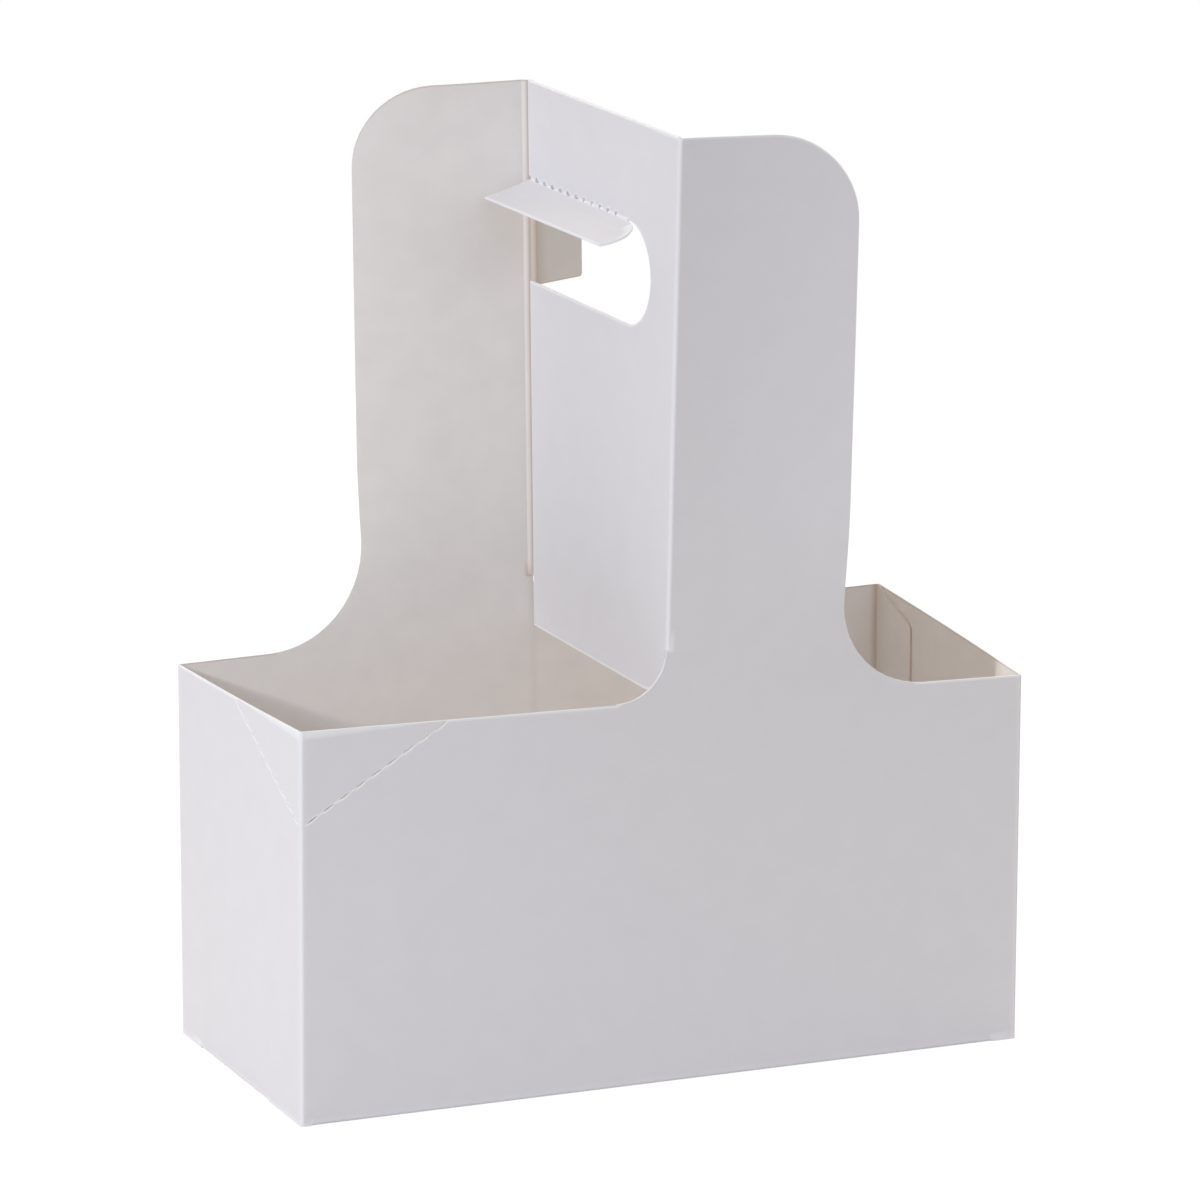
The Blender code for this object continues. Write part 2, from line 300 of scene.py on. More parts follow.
def sheet(name, grids, place, outward, nodes, body, seams=(), creases=(), bend=None,
          faces=("coatedFace", "plainFace", "rawEdge"), thick=board["thick"]):
    # one panel of the board: its outer face as grids joined where they meet, thickened inwards
    flat, points, quads, count = [], [], [], 0
    for along, up in grids:
        numbers = count + np.arange(along.size).reshape(along.shape)
        count += along.size
        corners = (numbers[:-1, :-1], numbers[1:, :-1], numbers[1:, 1:], numbers[:-1, 1:])
        quads.append(np.stack(corners, -1).reshape(-1, 4))
        flat.append(np.stack([along, up], -1).reshape(-1, 2))
        points.append(place(along, up).reshape(-1, 3))
    flat, points, quads = (np.concatenate(part) for part in (flat, points, quads))
    corners = points[quads]
    facing = np.cross(corners[:, 2] - corners[:, 0], corners[:, 3] - corners[:, 1])
    if (facing @ np.asarray(outward, float)).sum() < 0:
        quads = quads[:, ::-1]

    mesh = bpy.data.meshes.new(name)
    mesh.from_pydata(points.tolist(), [], quads.tolist())
    loops = meshValues(mesh.loops, "vertex_index")
    mesh.uv_layers.new(name="flat").data.foreach_set("uv", flat[loops].ravel())
    work = bmesh.new()
    work.from_mesh(mesh)
    bmesh.ops.remove_doubles(work, verts=work.verts, dist=board["merge"])
    work.to_mesh(mesh)
    work.free()

    # cut edges are the free ones that don't meet the next panel at a seam
    points = meshValues(mesh.vertices, "co", float, 3)
    ends = meshValues(mesh.edges, "vertices", int, 2)
    free = np.bincount(meshValues(mesh.loops, "edge_index"), minlength=len(ends)) == 1
    for axis, value in seams:
        onSeam = np.abs(points[:, axis] - value) < board["seamReach"]
        free &= ~onSeam[ends].all(axis=1)
    cut = np.zeros(len(points))
    cut[ends[free].ravel()] = 1
    crease = np.zeros(len(points))
    for axisA, valueA, axisB, valueB, width in creases:
        away = np.hypot(points[:, axisA] - valueA, points[:, axisB] - valueB)
        crease = np.maximum(crease, np.exp(-((away / width) ** 2)))
    mesh.attributes.new("cutEdge", "FLOAT", "POINT").data.foreach_set("value", cut)
    mesh.attributes.new("crease", "FLOAT", "POINT").data.foreach_set("value", crease)
    weights = mesh.attributes.new("bevel_weight_edge", "FLOAT", "EDGE")
    weights.data.foreach_set("value", free.astype(float))

    for finish in faces:
        mesh.materials.append(finishes[finish])
    piece = linked(name, mesh)
    if bend:
        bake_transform(piece)
    else:
        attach(piece, body)
    mesh.vertices.foreach_set("co", settle(points).ravel())

    thicken = piece.modifiers.new("board", "SOLIDIFY")
    thicken.thickness = thick
    thicken.offset = -1
    thicken.use_even_offset = True
    thicken.material_offset = 1
    thicken.material_offset_rim = 2
    rounding = piece.modifiers.new("edges", "BEVEL")
    rounding.limit_method = "WEIGHT"
    rounding.width = board["rounding"]
    rounding.segments = 2
    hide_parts(*nodes)


def addNode(tree, kind, inputs=None, prefix="ShaderNode", **settings):
    # inputs are given values, or the sockets that feed them; the editor shows rows of six nodes
    row, column = divmod(len(tree.nodes), 6)
    node = tree.nodes.new(prefix + kind)
    node.location = (220 * column, -320 * row)
    for setting, value in settings.items():
        setattr(node, setting, value)
    for label, value in (inputs or {}).items():
        if isinstance(value, bpy.types.NodeSocket):
            tree.links.new(value, node.inputs[label])
        else:
            node.inputs[label].default_value = value
    return node


def maths(tree, operation, first, second):
    return addNode(tree, "Math", {0: first, 1: second}, operation=operation).outputs[0]


def newGroup(name, inputs, outputs):
    tree = bpy.data.node_groups.new(name, "ShaderNodeTree")
    for label, kind, value in inputs:
        socket = tree.interface.new_socket(label, in_out="INPUT", socket_type="NodeSocket" + kind)
        if value is not None:
            socket.default_value = value
    for label, kind in outputs:
        tree.interface.new_socket(label, in_out="OUTPUT", socket_type="NodeSocket" + kind)
    given, found = (addNode(tree, kind, prefix="NodeGroup") for kind in ("Input", "Output"))
    return tree, given.outputs, found.inputs


fibre = {
    "toothShare": 0.55,        # of the relief, the rest of which is strands
    "strandScale": 2600,
    "strandStretch": 0.22,     # scale along the strands
    "cloudScale": 110,
    "speckScale": 55,
    "speckSpread": 0.018,      # a speck's radius in its cell: a share of chance times this
    "speckLeast": 0.0045,      # less this, so that most cells have none
    "depth": 0.05 * mm,        # of the relief
}
# rougher edges and creases are wear; the edge colour's share is painted light
wearAndPaintedLight = {
    "rougher": 0.12,           # how much rougher cut edges and creases are
    "edgeShare": 0.45,         # of the edge's colour (painted highlight on the outer face, painted shade on the inner ones), with the formation's 0.5 on top
}


def fibreGroup():
    # tooth of the board, its cloudy formation and a few specks, from flat positions in metres
    tree, given, found = newGroup(
        "boardFibre",
        [("Vector", "Vector", None), ("Tooth", "Float", 1700.0)],
        [("Height", "Float"), ("Cloud", "Float"), ("Speck", "Float")],
    )
    spot = given["Vector"]
    tooth = addNode(tree, "TexNoise", {"Detail": 3, "Vector": spot, "Scale": given["Tooth"]})
    stretch = addNode(tree, "Mapping", {"Scale": (fibre["strandStretch"], 1, 1), "Vector": spot})
    strands = addNode(tree, "TexNoise",
                      {"Scale": fibre["strandScale"], "Detail": 2, "Vector": stretch.outputs[0]})
    cloud = addNode(tree, "TexNoise", {"Scale": fibre["cloudScale"], "Detail": 4, "Vector": spot})
    cells = addNode(tree, "TexVoronoi", {"Scale": fibre["speckScale"], "Vector": spot}).outputs
    chance = addNode(tree, "SeparateColor", {0: cells["Color"]}).outputs[0]
    size = maths(tree, "MULTIPLY", chance, fibre["speckSpread"])
    size = maths(tree, "SUBTRACT", size, fibre["speckLeast"])
    half = maths(tree, "MULTIPLY", tooth.outputs[0], fibre["toothShare"])
    rest = maths(tree, "MULTIPLY", strands.outputs[0], 1 - fibre["toothShare"])
    tree.links.new(maths(tree, "ADD", half, rest), found["Height"])
    tree.links.new(cloud.outputs[0], found["Cloud"])
    tree.links.new(maths(tree, "LESS_THAN", cells["Distance"], size), found["Speck"])
    return tree


def wearAndPaintedLightGroup():
    # how a colour changes: at cut edges a band of painted highlight (outer face) and painted shade
    # (inner faces), along creases a tint that is painted shade on the inner faces, and with the
    # formation and at specks, which are the board's own
    tree, given, found = newGroup(
        "boardWearAndPaintedLight",
        [
            ("Color", "Color", (0.8, 0.8, 0.8, 1)),
            ("Edge Color", "Color", (1, 1, 1, 1)),
            ("Crease Color", "Color", (1, 1, 1, 1)),
            ("Speck Color", "Color", (0.4, 0.35, 0.3, 1)),
            ("Cloudiness", "Float", 0.03),
            ("Edge Falloff", "Float", 1.0),
            ("Cloud", "Float", 0.5),
            ("Speck", "Float", 0.0),
        ],
        [("Color", "Color"), ("Worn", "Float")],
    )
    edge, crease = (addNode(tree, "Attribute", attribute_name=name).outputs["Fac"]
                    for name in ("cutEdge", "crease"))
    drift = maths(tree, "SUBTRACT", given["Cloud"], 0.5)
    drift = maths(tree, "MULTIPLY", drift, given["Cloudiness"])
    drift = maths(tree, "ADD", drift, 1.0)
    colour = addNode(tree, "VectorMath", {0: given["Color"], "Scale": drift},
                     operation="SCALE").outputs[0]
    uneven = maths(tree, "ADD", given["Cloud"], wearAndPaintedLight["edgeShare"])
    edge = maths(tree, "POWER", edge, given["Edge Falloff"])
    edge = maths(tree, "MULTIPLY", edge, uneven)
    # the edge and crease mixes paint light and shade; the speck mix is the board's own
    steps = ((edge, "Edge Color"), (crease, "Crease Color"), (given["Speck"], "Speck Color"))
    for share, label in steps:
        mix = addNode(tree, "Mix",
                      {"Factor": share, "A": colour, "B": given[label]}, data_type="RGBA")
        colour = mix.outputs["Result"]
    tree.links.new(colour, found["Color"])
    tree.links.new(maths(tree, "MAXIMUM", edge, crease), found["Worn"])
    return tree


def boardMaterial(name, look):
    material = bpy.data.materials.new(name)
    material.use_nodes = True
    tree = material.node_tree
    shader = tree.nodes["Principled BSDF"].inputs
    if look["onFlat"]:
        spot = addNode(tree, "UVMap", uv_map="flat").outputs[0]
    else:
        spot = addNode(tree, "TexCoord").outputs["Object"]
    relief = addNode(tree, "Group", {"Tooth": look["tooth"], "Vector": spot},
                     node_tree=fibres).outputs
    colours = {label: (*value, 1) for label, value in look.items() if label.endswith("Color")}
    values = {"Cloudiness": look["cloudiness"], "Edge Falloff": look["edgeFalloff"],
              "Cloud": relief["Cloud"], "Speck": relief["Speck"]}
    wear = addNode(tree, "Group", colours | values, node_tree=wearAndPaintedLightTree).outputs
    rough = maths(tree, "MULTIPLY", wear["Worn"], wearAndPaintedLight["rougher"])
    rough = maths(tree, "ADD", rough, look["roughness"])
    bump = addNode(tree, "Bump", {
        "Strength": look["bump"], "Distance": fibre["depth"], "Height": relief["Height"]})
    tree.links.new(wear["Color"], shader["Base Color"])
    tree.links.new(rough, shader["Roughness"])
    tree.links.new(bump.outputs[0], shader["Normal"])
    shader["Specular IOR Level"].default_value = look["specular"]
    return material


inner = {
    "onFlat": True, "tooth": 1300.0, "bump": 0.6, "roughness": 0.85, "specular": 0.15,
    "cloudiness": 0.10, "Speck Color": (0.42, 0.33, 0.26),
}
looks = {
    # the coated face's pale Edge Color is a painted highlight along cut edges
    "coatedFace": {
        "onFlat": True, "tooth": 1700.0, "bump": 0.35, "roughness": 0.55, "specular": 0.28,
        "cloudiness": 0.05, "edgeFalloff": 0.6, "Color": (0.815, 0.80, 0.82),
        "Edge Color": (0.97, 0.97, 0.98), "Crease Color": (0.89, 0.885, 0.91),
        "Speck Color": (0.45, 0.42, 0.38),
    },
    # the plain face's brown Edge Color is painted shade along cut edges
    "plainFace": inner | {
        "edgeFalloff": 1.5, "Color": (0.88, 0.84, 0.81), "Edge Color": (0.66, 0.56, 0.49),
        # the plain face's brown Crease Color is painted shade in the folds
        "Crease Color": (0.66, 0.55, 0.48),
    },
    # the glued face's pale Edge Color is a painted highlight along cut edges
    "gluedFace": inner | {
        "edgeFalloff": 1.0, "Color": (0.88, 0.845, 0.82), "Edge Color": (0.90, 0.90, 0.92),
        # the glued face's brown Crease Color is the painted shade line on the strip, and a brown
        # line at the tab's hinge
        "Crease Color": (0.60, 0.51, 0.46),
    },
    "rawEdge": {
        "onFlat": False, "tooth": 2600.0, "bump": 0.8, "roughness": 0.9, "specular": 0.1,
        "cloudiness": 0.12, "edgeFalloff": 1.0, "Color": (0.89, 0.91, 0.95),
        "Edge Color": (0.94, 0.955, 0.985), "Crease Color": (0.84, 0.85, 0.87),
        "Speck Color": (0.6, 0.55, 0.5),
    },
}
fibres = fibreGroup()
wearAndPaintedLightTree = wearAndPaintedLightGroup()
finishes = {name: boardMaterial(name, look) for name, look in looks.items()}
print("finishes made")

corner = {
    "runFront": 40 * mm,
    "runEnd": 46 * mm,
    "drop": 24.5 * mm,
    "bendRise": 0.6 * mm,      # how much higher the line comes out of the fold
    "firstFront": 0.9 * mm,    # from the fold to the first cut
    "firstEnd": 1.1 * mm,
    "pitchFront": 4.3 * mm,
    "pitchEnd": 4.8 * mm,
    "cutShare": 0.66,          # part of the pitch that is cut through
    "open": 0.34 * mm,         # half the slit's width
    "openShare": 0.4,          # and at most this part of the height left above the line
    "tabRows": np.array([0, 0.02, 0.15, 0.4, 0.7, 0.9, 1]),
}


def dashColumns(start, end, pitch):
    # seven columns for each cut: its two ends, and five between them
    starts = np.arange(start, end - 0.3 * pitch, pitch)
    marks = np.array([0, 0.1, 0.3, 0.5, 0.7, 0.9, 1]) * corner["cutShare"] * pitch
    found = (starts[:, None] + marks).ravel()
    return joined([start], found[found < end], [end])


def lips(columns, start, pitch):
    # opening of the slit: a half wave to the power of 0.4, which keeps the lips even, and they
    # close at the bridges
    phase = np.mod((columns - start) / pitch + tiny, 1) / corner["cutShare"]
    cut = (phase < 1) & (columns >= start)
    return corner["open"] * np.where(cut, np.sin(np.pi * np.clip(phase, 0, 1)), 0) ** 0.4


flapSpan = {"long": (3 * mm, 193.2 * mm), "end": (24 * mm, 75 * mm)}
baseRows = np.array([board["foot"], baseFold])
wallRows = spread(baseFold, rim, nearStart=1.5 * mm, nearEnd=cutBand)


def cornerGrids(whole, slit, line, start, pitch):
    # the wall below the perforated line, and the corner's part above it
    lip = np.minimum(lips(slit, start, pitch), corner["openShare"] * (rim - line))
    columns = upTo(whole, slit[-1])
    line, lip = np.interp(columns, slit, line), np.interp(columns, slit, lip)
    return [between(columns, baseFold, line - lip, wallRows),
            between(columns, line + lip, rim, corner["tabRows"])]


def footGrids(whole, first, last):
    # the wall's foot at both ends of its bottom flap
    return [between(columns, board["foot"], baseFold, baseRows)
            for columns in (upTo(whole, first), since(whole, last))]


def belts(fillet):
    # the handle's rows: up to the web's corner, up to the top of the fillet, and above it
    return (spread(rim, webCorner, board["belt"], cutBand, cutBand),
            spread(webCorner, rim + fillet, board["belt"], 0, cutBand),
            spread(rim + fillet, handle["top"], nearEnd=cutBand))


def halfHandle(side, crease, edge, width, radius, fillet):
    # an upright to the right of its crease, where side is 1, or to the left, where it is -1. The
    # horn beside the crease, the rounded top and the fillet at the foot are quarter circles.
    far = crease + side * width
    hornCentre = crease - side * handle["creaseFillet"]
    topCentre, filletCentre = far - side * radius, far + side * fillet
    near, away = ((0, 90), (90, 180))[::side]
    horn = joined([edge], aroundArc(hornCentre, handle["creaseFillet"], *near, 12))
    hornTop = webCorner - circleHeight(horn, hornCentre, handle["creaseFillet"])
    hornTop[side * (horn - crease) > -tiny] = webCorner      # cut level beside the crease
    upright = joined(spread(edge, topCentre, nearStart=besideFold),
                     aroundArc(topCentre, radius, *near))
    rounded = np.where(side * (upright - topCentre) > 0, upright, topCentre)
    top = handle["top"] - radius + circleHeight(rounded, topCentre, radius)
    foot = aroundArc(filletCentre, fillet, *away)
    footTop = rim + fillet - circleHeight(foot, filletCentre, fillet)
    low, high, upper = belts(fillet)
    grids = [
        between(horn, rim, hornTop, low),
        between(upright, rim, webCorner, low),
        between(upright, webCorner, rim + fillet, high),
        between(upright, rim + fillet, top, upper),
        between(foot, rim, footTop, joined(low, high)),
    ]
    return joined(horn, upright, foot), grids, hornCentre, filletCentre


def frontWall():
    start, stop = leftX + openFold, rightX - closedFold
    slitEnd = leftX + corner["runFront"]
    creaseEdge = handle["webLeft"] + openFold
    columns, grids, hornStart, filletEnd = halfHandle(
        1, handle["webLeft"], creaseEdge, handle["width"], handle["frontRadius"],
        handle["frontFillet"])
    dashStart = start + corner["firstFront"]
    slit = joined([start], dashColumns(dashStart, slitEnd, corner["pitchFront"]))
    line = rim - corner["drop"] + corner["drop"] * (slit - leftX) / corner["runFront"]
    flapEnds = [leftX + reach for reach in flapSpan["long"]]
    whole = joined(slit, spread(slitEnd, hornStart), columns,
                   spread(filletEnd, stop, nearEnd=besideFold), flapEnds)
    grids = [
        *cornerGrids(whole, slit, line, dashStart, corner["pitchFront"]),
        between(since(whole, slitEnd), baseFold, rim, wallRows),
        *footGrids(whole, *flapEnds), *grids,
    ]

    def place(along, up):
        return np.stack([along, np.full_like(along, frontY), up], -1)

    seams = [(0, start), (0, stop), (0, creaseEdge), (2, baseFold)]
    creases = [scoredUp(leftX, frontY), scoredUp(rightX, frontY), scoredFoot(1, frontY)]
    sheet("frontWall", grids, place, (0, -1, 0), ["front_wall", "corner_tab_front"], "front",
          seams, creases)


def leftEnd():
    fold = quarter(openFold)
    stop = fold + backY - closedFold - (frontY + openFold)
    slitEnd = fold + corner["runEnd"] - openFold
    dashStart = fold + corner["firstEnd"]
    slit = joined(foldColumns(openFold), dashColumns(dashStart, slitEnd, corner["pitchEnd"]))
    foot = rim - corner["drop"]
    line = np.interp(slit, [0, fold, slitEnd], [foot, foot + corner["bendRise"], rim])
    flapEnds = [reach - openFold + fold for reach in flapSpan["end"]]
    whole = joined(slit, spread(slitEnd, stop, nearEnd=besideFold), flapEnds)
    grids = [
        *cornerGrids(whole, slit, line, dashStart, corner["pitchEnd"]),
        between(since(whole, slitEnd), baseFold, rim, wallRows),
        *footGrids(whole, *flapEnds),
    ]
    seams = [(1, frontY), (1, backY - closedFold), (2, baseFold)]
    creases = [scoredUp(leftX, frontY), scoredUp(leftX, backY), scoredFoot(0, leftX)]
    bend = ("left_end", "front", (leftX, frontY + openFold, 0), (leftX + openFold, frontY, 0))
    sheet("leftEnd", grids, standing((leftX, frontY), (1, 0), (0, 1), openFold), (-1, 0, 0),
          ["left_end", "corner_tab_end"], "left_end", seams, creases, bend)


def backWall():
    origin = leftX + closedFold - quarter(closedFold)        # x less travel past the fold
    stopX = rightX - board["pressed"] - openFold
    fillet = handle["backFillet"]
    columns, grids, hornEnd, filletStart = halfHandle(
        -1, handle["backCrease"], strip["startX"], handle["backWidth"], handle["backRadius"],
        fillet)
    flapEnds = [rightX - reach for reach in reversed(flapSpan["long"])]
    whole = joined(spread(leftX + closedFold, filletStart, nearStart=besideFold), columns,
                   spread(hornEnd, stopX, nearEnd=besideFold), flapEnds)
    whole = np.concatenate([foldColumns(closedFold)[:-1], whole - origin])
    stripColumns = handle["stripMark"] + joined(
        np.linspace(0, strip["first"], 5), np.linspace(strip["first"], strip["seamTravel"], 4))
    high, upper = belts(fillet)[1:]
    grids = [
        between(whole, baseFold, rim, wallRows),
        *footGrids(whole, *(end - origin for end in flapEnds)),
        *((along - origin, up) for along, up in grids),
        between(stripColumns, webCorner, rim + fillet, high),
        between(stripColumns, rim + fillet, handle["top"], upper),
    ]

    def place(along, up):
        mark = handle["stripMark"]
        plan = foldPath(along, (leftX, backY), (0, -1), (1, 0), closedFold)
        return lifted(np.where((along < mark)[..., None], plan, doublePath(along - mark)), up)

    seams = [(1, backY - closedFold), (0, stopX), (0, strip["seamX"]), (2, baseFold)]
    creases = [scoredUp(leftX, backY), scoredUp(stopX + 0.5 * mm, backY), stripShade,
               scoredFoot(1, backY)]
    bend = ("back", "left_end", (leftX + closedFold, backY, 0), (leftX, backY - closedFold, 0))
    sheet("backWall", grids, place, (0, 1, 0), ["back_wall"], "back", seams, creases, bend)


def rightEnd():
    fold = quarter(closedFold)
    start = frontY + closedFold
    flapEnds = [backY - reach - start + fold for reach in reversed(flapSpan["end"])]
    rest = fold + spread(0, backY - start, nearStart=besideFold, nearEnd=cutBand)
    whole = joined(foldColumns(closedFold), rest, flapEnds)
    grids = [between(whole, baseFold, rim, wallRows), *footGrids(whole, *flapEnds)]
    seams = [(1, frontY), (2, baseFold)]
    creases = [scoredUp(rightX, frontY), scoredFoot(0, rightX)]
    bend = ("right_end", "front", (rightX, start, 0), (rightX - closedFold, frontY, 0))
    sheet("rightEnd", grids, standing((rightX, frontY), (-1, 0), (0, 1), closedFold), (1, 0, 0),
          ["right_end"], "right_end", seams, creases, bend)


glue = {
    "width": 22 * mm, "taper": 5.5 * mm, "lift": 2 * mm, "nose": 3 * mm, "soften": 1.2 * mm,
    "rows": spread(0, 1, 0.07, 0.005, 0.005),
}


def glueFlap():
    faceX = rightX - board["pressed"]
    fold = quarter(openFold)
    stop = fold + glue["width"] - openFold
    noseStart, taperStart = stop - glue["nose"], fold + 0.2 * mm
    whole = joined(foldColumns(openFold), spread(taperStart, noseStart, board["fineStep"]),
                   aroundArc(noseStart, glue["nose"], 0, 90, 8))
    inset = glue["taper"] * np.clip((whole - taperStart) / (stop - taperStart), 0, 1)
    nose = circleHeight(np.maximum(whole, noseStart), noseStart, glue["nose"]) / glue["nose"]
    soften = glue["soften"] * (1 - nose)
    grid = between(whole, glue["lift"] + inset + soften, rim - inset - soften, glue["rows"])
    # the flap's cut edge takes the plain face, whose brown Edge Color is painted shade on that
    # edge; the brown crease mark at the corner is painted shade too
    sheet("glueFlap", [grid], standing((faceX, backY), (-1, 0), (0, -1), openFold), (1, 0, 0),
          ["glue_flap"], "right_end", [(0, faceX - openFold)],
          [scoredUp(faceX - 0.5 * mm, backY - 0.3 * mm)],
          faces=("coatedFace", "plainFace", "plainFace"))


frontWall()
leftEnd()
backWall()
rightEnd()
glueFlap()
print("walls made")

grip = {
    "radius": 0.4 * mm,
    "dots": 12,
    "dotLength": 1.25 * mm,    # half the length of each cut in the dotted line
    "dotHeight": 0.6 * mm,     # half its width, pulled open by the fold
    "dotRise": 0.2 * mm,       # height of its middle above the start of the fold
    "dotEnd": 1.1 * mm,        # travel down the flap above which the cuts end
    "firstDot": -12.4 * mm,
    "lastDot": 40.2 * mm,
    "step": 3 * mm,
    "neckStep": 0.8 * mm,
    "angle": math.radians(67),
    "curl": 1.4 * mm,          # how far the free edge curls up
    "lean": 3.4 * mm,          # and its front tip sets back
}
grip["reach"] = grip["radius"] * math.tan(grip["angle"] / 2)      # from the corner to the arc
tab = {
    "radius": 0.3 * mm,
    "length": 16.3 * mm,
    "drop": 1.5 * mm,          # how much lower than the front layer's hole it is cut
    "angle": math.radians(110),
    "hinge": 40.259 * mm,
    "corner": 1 * mm,
}
tab["reach"] = tab["radius"] * math.tan(tab["angle"] / 2)
webFaces = ("coatedFace", "gluedFace", "rawEdge")


def dotCentres():
    return np.linspace(grip["firstDot"], grip["lastDot"], grip["dots"])


def dotColumns(start, stop):
    # eleven columns for each dot: across the circle evenly by angle, and just outside it
    across = np.append(np.cos(np.radians(np.linspace(0, 180, 9))), [1.02, -1.02])
    columns = (dotCentres()[:, None] + across * grip["dotLength"]).ravel()
    return columns[(columns > start) & (columns < stop)]


def dotDepth(columns, reach):
    # how far a dot bites past a line at a distance from its centre
    away = np.abs(columns[:, None] - dotCentres()).min(axis=1)
    height = grip["dotHeight"] * np.sqrt(np.clip(1 - (away / grip["dotLength"]) ** 2, 0, None))
    return np.where(away < 1.005 * grip["dotLength"], height + reach, 0)


def webFoot(travel, fold, past):
    # the web's lower edge: level round its fold, then an arc, past counting from its centre
    arc = webCorner - circleHeight(np.maximum(past, 0), 0, handle["creaseFillet"])
    return np.where(travel < fold + tiny, webCorner, arc)


def halfHole(y, radius=hole["radius"]):
    # half the hole's height: a half circle at its front end, level behind it
    return circleHeight(np.minimum(y, hole["centreY"]), hole["centreY"], radius)


def webRows(start, end):
    return spread(start, end, nearStart=cutBand, nearEnd=cutBand)


def webFrontLayer():
    start = frontY + openFold
    fold = quarter(openFold)
    shift = fold - start                                     # travel less y
    cornerY = frontY + board["layer"] + handle["creaseFillet"]
    stopY = backY - board["thick"] - handle["frontShort"]
    centreY = hole["centreY"]
    hinge = hole["top"] + grip["reach"]

    lower = aroundArc(cornerY, handle["creaseFillet"], 90, 176, 12)
    lower = lower[lower > start + board["apart"]]
    front = joined([start], lower, spread(cornerY, centreY - hole["radius"], nearEnd=cutBand))
    front = np.concatenate([foldColumns(openFold)[:-1], front + shift])
    nose = aroundArc(centreY, hole["radius"], 90, 180, 16)
    noseEnd = centreY + 0.01 * mm                            # where the dotted line starts
    rear = joined([centreY, noseEnd], dotColumns(centreY, stopY),
                  spread(centreY, stopY, nearEnd=cutBand))
    holePart = np.concatenate([nose + shift, (rear + shift)[1:]])

    def lowEdge(travel):
        return webFoot(travel, fold, cornerY - (travel - shift))

    y = holePart - shift
    dots = hinge + dotDepth(y, grip["dotRise"])
    holeHigh = np.where(y > noseEnd - tiny, dots, holeMiddle + halfHole(y))
    lowRows, highRows = webRows(webCorner, holeMiddle), webRows(holeMiddle, handle["top"])
    grids = [
        between(front, lowEdge(front), holeMiddle, lowRows),
        between(front, holeMiddle, handle["top"], highRows),
        between(holePart, lowEdge(holePart), holeMiddle - halfHole(y), lowRows),
        between(holePart, holeHigh, handle["top"], highRows),
    ]
    place = standing((handle["webLeft"], frontY), (1, 0), (0, 1), openFold)
    creases = [scoredUp(handle["webLeft"], frontY)]
    bend = ("web", "front", (0, start, 0), (0, frontY, 0))
    sheet("webFrontLayer", grids, place, (-1, 0, 0), ["web_front_layer"], "web",
          [(1, frontY), (2, hinge)], creases, bend, webFaces, board["glued"])


def webRearLayer():
    # travel runs from the back crease towards the front
    fold = strip["travel"]
    shift = fold + strip["endY"]                             # travel plus y
    cornerY = backY - board["layer"] - handle["creaseFillet"]
    stopY = frontY + board["thick"] + handle["rearShort"]
    holeFront = hole["centreY"] - hole["radius"]
    hingeY = tab["hinge"] + tab["reach"]
    tabFoot = hole["floor"] - tab["drop"]

    bends = (strip["seamTravel"], strip["first"] + strip["straight"], fold)
    turn = joined(*(np.linspace(*pair, 5) for pair in zip(bends, bends[1:])))
    lower = aroundArc(cornerY, handle["creaseFillet"], 4, 90, 12)
    lower = lower[lower < hingeY - board["apart"]]
    straight = joined(lower, spread(cornerY, hole["centreY"]), [hingeY])
    nose = aroundArc(hole["centreY"], hole["radius"], 90, 180, 16)
    backPart = np.concatenate([turn[:-1], np.sort(shift - np.array([hingeY, strip["endY"]]))])
    openPart = joined(shift - straight, shift - nose)
    frontPart = np.sort(shift - webRows(stopY, holeFront))

    def lowEdge(travel):
        return webFoot(travel, fold, shift - travel - cornerY)

    half = halfHole(shift - openPart)
    lowest = holeMiddle - half * (1 + tab["drop"] / hole["radius"])
    lowRows = webRows(webCorner, hole["floor"])
    holeRows = spread(hole["floor"], hole["top"], board["fineStep"])
    highRows = webRows(hole["top"], handle["top"])
    grids = [
        between(backPart, lowEdge(backPart), tabFoot, lowRows),
        between(backPart, tabFoot, hole["top"], holeRows),
        between(backPart, hole["top"], handle["top"], highRows),
        between(openPart, lowEdge(openPart), lowest, lowRows),
        between(openPart, holeMiddle + half, handle["top"], highRows),
        between(frontPart, lowEdge(frontPart), holeMiddle, lowRows),
        between(frontPart, holeMiddle, handle["top"], highRows),
    ]

    def place(along, up):
        return lifted(doublePath(along), up)

    creases = [stripShade, scoredUp(handle["webRight"], tab["hinge"])]
    sheet("webRearLayer", grids, place, (1, 0, 0), ["web_rear_layer"], "web",
          [(0, strip["seamX"]), (1, hingeY)], creases, None, webFaces, board["glued"])


